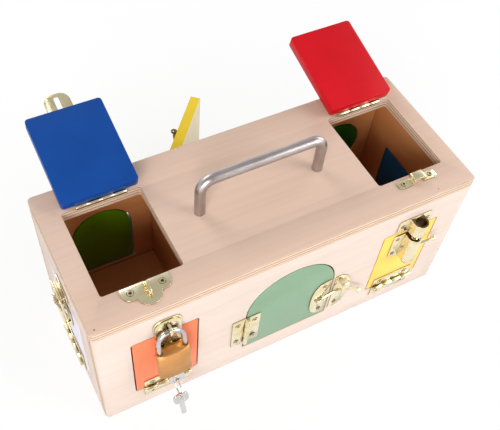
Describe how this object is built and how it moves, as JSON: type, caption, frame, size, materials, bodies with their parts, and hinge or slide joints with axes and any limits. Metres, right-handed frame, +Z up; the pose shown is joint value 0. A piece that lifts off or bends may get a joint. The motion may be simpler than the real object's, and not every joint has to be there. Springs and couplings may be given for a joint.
{
  "type": "wooden latch box",
  "caption": "Plywood toy box with painted lids and doors on its sides, each shut by a hasp, bolt, latch or hook, with compartments inside and a handle on top.",
  "frame": {"origin": "middle of the lower edge of the front wall, halfway through its ply, on the floor plane", "axes": "+X along the box's length, towards the red lid; +Y to the back; +Z up"},
  "size_m": [0.4219, 0.2996, 0.2265],
  "materials": {
    "birch_ply": "sanded, clear satin",
    "blue_paint": "painted",
    "red_paint": "painted",
    "orange_paint": "painted",
    "green_paint": "painted",
    "yellow_paint": "painted",
    "lilac_paint": "painted",
    "rear_yellow_paint": "painted",
    "dark_green_paint": "painted",
    "dark_blue_paint": "painted",
    "bright_brass": "bright plated",
    "matte_brass": "matte",
    "dark_brass": "dark, aged",
    "satin_steel": "satin",
    "chrome": "polished",
    "nickel": "satin nickel"
  },
  "bodies": {
    "box": {"floor_panel": "birch_ply", "top_panel": "birch_ply", "front_panel": "birch_ply", "back_panel": "birch_ply", "left_end_panel": "birch_ply", "right_end_panel": "birch_ply", "left_partition": "birch_ply", "right_partition": "birch_ply", "carry_handle": "satin_steel", "blue_lid_hinge_fixed": "bright_brass", "red_lid_hinge_fixed": "bright_brass", "orange_door_hinge_fixed": "bright_brass", "green_door_hinge_fixed": "bright_brass", "yellow_door_hinge_fixed": "bright_brass", "lilac_door_hinge_fixed": "bright_brass", "blue_hasp_staple": "bright_brass", "orange_hasp_staple": "bright_brass", "red_bolt_keeper": "bright_brass", "yellow_bolt_keeper": "bright_brass", "green_catch_keeper": "bright_brass", "draw_latch_keeper": "bright_brass"},
    "blue_lid": {"blue_lid": "blue_paint", "blue_lid_hinge_moving": "bright_brass", "blue_hasp_leaf": "bright_brass"},
    "blue_strap": {"blue_hasp_strap": "bright_brass"},
    "red_lid": {"red_lid": "red_paint", "red_lid_hinge_moving": "bright_brass", "red_bolt_barrel": "bright_brass"},
    "red_bolt": {"red_bolt": "bright_brass"},
    "orange_door": {"orange_door": "orange_paint", "orange_door_hinge_moving": "bright_brass", "orange_hasp_leaf": "bright_brass"},
    "orange_strap": {"orange_hasp_strap": "bright_brass"},
    "padlock_shackle": {"padlock_shackle": "chrome"},
    "padlock_body": {"padlock_body": "matte_brass"},
    "padlock_key": {"padlock_key": "nickel"},
    "key_ring": {"key_ring": "nickel"},
    "spare_key": {"spare_key": "nickel"},
    "green_door": {"green_door": "green_paint", "green_door_hinge_moving": "bright_brass", "green_catch_plate": "bright_brass"},
    "green_arm": {"green_catch_arm": "bright_brass"},
    "yellow_door": {"yellow_door": "yellow_paint", "yellow_door_hinge_moving": "bright_brass", "yellow_bolt_barrel": "bright_brass"},
    "yellow_bolt": {"yellow_bolt": "bright_brass"},
    "lilac_door": {"lilac_door": "lilac_paint", "lilac_door_hinge_moving": "bright_brass", "draw_latch_base": "bright_brass"},
    "latch_lever": {"draw_latch_lever": "bright_brass"},
    "latch_bail": {"draw_latch_bail": "bright_brass"},
    "rear_door": {"rear_yellow_door": "rear_yellow_paint", "gate_hook_eye": "dark_brass"},
    "gate_hook": {"gate_hook": "dark_brass"},
    "rear_arch_door": {"rear_arch_door": "dark_green_paint"},
    "rear_arch_button": {"rear_arch_turn_button": "bright_brass"},
    "rear_round_door": {"rear_round_door": "dark_green_paint"},
    "rear_round_button": {"rear_round_turn_button": "bright_brass"},
    "right_end_door": {"right_end_door": "dark_blue_paint"},
    "right_end_button": {"right_end_turn_button": "bright_brass"}
  },
  "joints": [
    {"name": "blue_lid_swing", "type": "hinge", "parent": "box", "child": "blue_lid", "pos_m": [-0.14135, 0.12274, 0.1807], "axis": [1, 0, 0], "range_deg": [0, 166]},
    {"name": "blue_hasp_swing", "type": "hinge", "parent": "blue_lid", "child": "blue_strap", "pos_m": [-0.14135, 0.19177, 0.19791], "axis": [-1, 0, 0], "range_deg": [0, 140]},
    {"name": "red_lid_swing", "type": "hinge", "parent": "box", "child": "red_lid", "pos_m": [0.14545, 0.12324, 0.1807], "axis": [1, 0, 0], "range_deg": [0, 166]},
    {"name": "red_bolt_slide", "type": "slide", "parent": "red_lid", "child": "red_bolt", "axis": [0, 0.9703, 0.2419], "range_m": [0, 0.012]},
    {"name": "orange_door_swing", "type": "hinge", "parent": "box", "child": "orange_door", "pos_m": [-0.1353, -0.0082, 0.03337], "axis": [1, 0, 0], "range_deg": [0, 0.1]},
    {"name": "orange_hasp_swing", "type": "hinge", "parent": "orange_door", "child": "orange_strap", "pos_m": [-0.1333, -0.0082, 0.107], "axis": [1, 0, 0], "range_deg": [0, 0.4]},
    {"name": "padlock_swing", "type": "hinge", "parent": "box", "child": "padlock_shackle", "pos_m": [-0.1333, -0.0111, 0.1414], "axis": [-1, 0, 0], "range_deg": [0, 60]},
    {"name": "padlock_release", "type": "slide", "parent": "padlock_shackle", "child": "padlock_body", "axis": [0, -0.1846, -0.9828], "range_m": [0, 0.008]},
    {"name": "key_turn", "type": "hinge", "parent": "padlock_body", "child": "padlock_key", "pos_m": [-0.1333, -0.02216, 0.08253], "axis": [0, 0.1846, 0.9828], "range_deg": [0, 90]},
    {"name": "key_ring_swing", "type": "hinge", "parent": "padlock_key", "child": "key_ring", "pos_m": [-0.1333, -0.02494, 0.06769], "axis": [-1, 0, 0], "range_deg": [-22, 16]},
    {"name": "spare_key_swing", "type": "hinge", "parent": "key_ring", "child": "spare_key", "pos_m": [-0.1333, -0.03293, 0.044], "axis": [-1, 0, 0], "range_deg": [-15, 22]},
    {"name": "green_door_swing", "type": "hinge", "parent": "box", "child": "green_door", "pos_m": [-0.04892, -0.0082, 0.06574], "axis": [0, 0, -1], "range_deg": [0, 120]},
    {"name": "green_catch_swing", "type": "hinge", "parent": "green_door", "child": "green_arm", "pos_m": [0.0372, -0.0071, 0.064], "axis": [0, 1, 0], "range_deg": [-12, 75]},
    {"name": "yellow_door_swing", "type": "hinge", "parent": "box", "child": "yellow_door", "pos_m": [0.1378, -0.0082, 0.03287], "axis": [1, 0, 0], "range_deg": [0, 100]},
    {"name": "yellow_bolt_slide", "type": "slide", "parent": "yellow_door", "child": "yellow_bolt", "axis": [0, 0, 1], "range_m": [0, 0.016]},
    {"name": "lilac_door_swing", "type": "hinge", "parent": "box", "child": "lilac_door", "pos_m": [-0.2057, 0.071, 0.03237], "axis": [0, -1, 0], "range_deg": [0, 100]},
    {"name": "draw_latch_swing", "type": "hinge", "parent": "lilac_door", "child": "latch_lever", "pos_m": [-0.2072, 0.071, 0.0985], "axis": [0, -1, 0], "range_deg": [0, 100]},
    {"name": "draw_latch_bail_swing", "type": "hinge", "parent": "latch_lever", "child": "latch_bail", "pos_m": [-0.2078, 0.071, 0.108], "axis": [0, -1, 0], "range_deg": [0, 75]},
    {"name": "rear_door_swing", "type": "hinge", "parent": "box", "child": "rear_door", "pos_m": [-0.075, 0.1572, 0.082], "axis": [0, 0, 1], "range_deg": [-49, 61]},
    {"name": "gate_hook_swing", "type": "hinge", "parent": "rear_door", "child": "gate_hook", "pos_m": [-0.01933, 0.22673, 0.1128], "axis": [-0.7547, 0.6561, 0], "range_deg": [-80, 85]},
    {"name": "rear_arch_door_swing", "type": "hinge", "parent": "box", "child": "rear_arch_door", "pos_m": [-0.1707, 0.1572, 0.06681], "axis": [0, 0, 1], "range_deg": [0, 110]},
    {"name": "rear_arch_button_turn", "type": "hinge", "parent": "box", "child": "rear_arch_button", "pos_m": [-0.09899, 0.1548, 0.0465], "axis": [0, 1, 0], "range_deg": [-90, 0]},
    {"name": "rear_round_door_swing", "type": "hinge", "parent": "box", "child": "rear_round_door", "pos_m": [0.17436, 0.1572, 0.102], "axis": [0, 0, -1], "range_deg": [0, 110]},
    {"name": "rear_round_button_turn", "type": "hinge", "parent": "box", "child": "rear_round_button", "pos_m": [0.09927, 0.1548, 0.102], "axis": [0, 1, 0], "range_deg": [-90, 0]},
    {"name": "right_end_door_swing", "type": "hinge", "parent": "box", "child": "right_end_door", "pos_m": [0.2057, 0.11179, 0.0715], "axis": [0, 0, 1], "range_deg": [0, 110]},
    {"name": "right_end_button_turn", "type": "hinge", "parent": "box", "child": "right_end_button", "pos_m": [0.2033, 0.02893, 0.0715], "axis": [1, 0, 0], "range_deg": [-90, 0]}
  ],
  "couplings": [
    {"joint": "key_turn", "follows": "padlock_release", "rad_per_m": 196.3}
  ]
}
